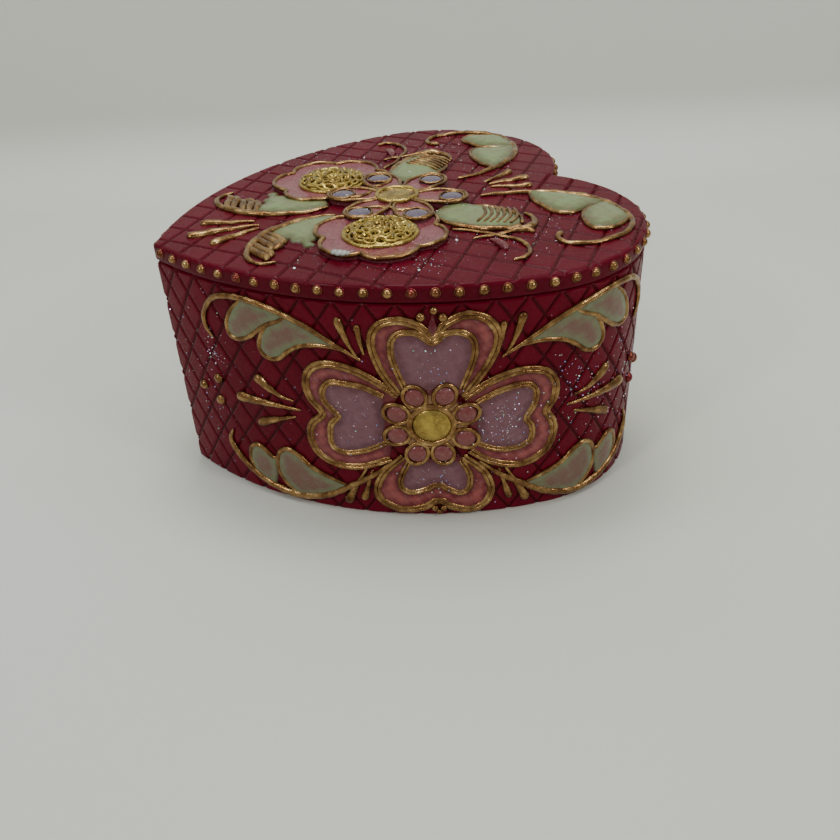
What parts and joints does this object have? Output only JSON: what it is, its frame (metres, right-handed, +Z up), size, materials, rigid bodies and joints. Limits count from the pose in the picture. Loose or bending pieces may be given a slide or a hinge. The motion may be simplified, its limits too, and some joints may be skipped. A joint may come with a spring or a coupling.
{
  "type": "wind-up music box",
  "caption": "Heart-shaped wind-up music box: cast box with raised flower ornament, lift-off lid, trinket compartment, and a geared pinned-cylinder movement wound by a key underneath.",
  "frame": {"origin": "bottom centre of the bounding box, on the surface that the box stands on", "axes": "-Y towards the tip of the heart, +Y towards the cleft, +X to the right lobe, +Z up"},
  "size_m": [0.102, 0.1026, 0.0583],
  "materials": {
    "painted_resin": "cast resin, burgundy pearl paint with gilt and enamel colours",
    "velvet": "flocked pad",
    "base_plate": "plain sheet",
    "screw_steel": "turned",
    "key_brass": "polished",
    "arbor_steel": "turned",
    "bedplate_zinc": "die cast",
    "barrel_brass": "turned",
    "mainspring_steel": "blued strip",
    "cylinder_brass": "turned",
    "wheel_brass": "cut",
    "comb_steel": "ground",
    "bracket_brass": "stamped",
    "governor_steel": "cut",
    "fly_aluminium": "stamped"
  },
  "bodies": {
    "case": {"box_body": "painted_resin", "compartment_lining": "velvet", "bottom_plate": "base_plate", "plate_screw_1": "screw_steel", "plate_screw_2": "screw_steel", "plate_screw_3": "screw_steel", "movement_screw_1": "screw_steel", "movement_screw_2": "screw_steel", "movement_screw_3": "screw_steel", "bedplate": "bedplate_zinc", "cylinder_bracket": "bracket_brass", "bracket_screw": "screw_steel", "comb": "comb_steel", "comb_screw_1": "screw_steel", "comb_screw_2": "screw_steel", "governor_frame": "bracket_brass", "governor_screw_1": "screw_steel", "governor_screw_2": "screw_steel", "fly_bridge": "bracket_brass"},
    "lid": {"lid": "painted_resin"},
    "key": {"winding_key": "key_brass", "winding_arbor": "arbor_steel", "arbor_clip": "arbor_steel"},
    "barrel": {"spring_barrel": "barrel_brass", "mainspring": "mainspring_steel"},
    "cylinder": {"cylinder": "cylinder_brass", "cylinder_arbor": "arbor_steel", "cylinder_pinion": "wheel_brass", "cylinder_wheel": "wheel_brass"},
    "governor": {"governor_arbor": "governor_steel", "governor_pinion": "governor_steel", "governor_wheel": "wheel_brass"},
    "fly": {"worm": "governor_steel", "fly": "fly_aluminium"}
  },
  "joints": [
    {"name": "lid_lift", "type": "slide", "parent": "case", "child": "lid", "axis": [0, 0, 1], "range_m": [0, 0.06]},
    {"name": "key_turn", "type": "hinge", "parent": "case", "child": "key", "pos_m": [0.015, 0.012, 0.005], "axis": [0, 0, 1], "continuous": true},
    {"name": "barrel_turn", "type": "hinge", "parent": "case", "child": "barrel", "pos_m": [0.015, 0.012, 0.016], "axis": [0, 0, 1], "continuous": true},
    {"name": "cylinder_turn", "type": "hinge", "parent": "case", "child": "cylinder", "pos_m": [-0.01, 0.012, 0.02455], "axis": [1, 0, 0], "continuous": true},
    {"name": "governor_turn", "type": "hinge", "parent": "case", "child": "governor", "pos_m": [-0.0244, 0.0179, 0.0211], "axis": [1, 0, 0], "continuous": true},
    {"name": "fly_turn", "type": "hinge", "parent": "case", "child": "fly", "pos_m": [-0.0244, 0.02325, 0.0211], "axis": [0, 0, 1], "continuous": true}
  ],
  "couplings": [
    {"joint": "cylinder_turn", "follows": "barrel_turn", "ratio": -3},
    {"joint": "governor_turn", "follows": "barrel_turn", "ratio": 12},
    {"joint": "fly_turn", "follows": "barrel_turn", "ratio": -120}
  ]
}
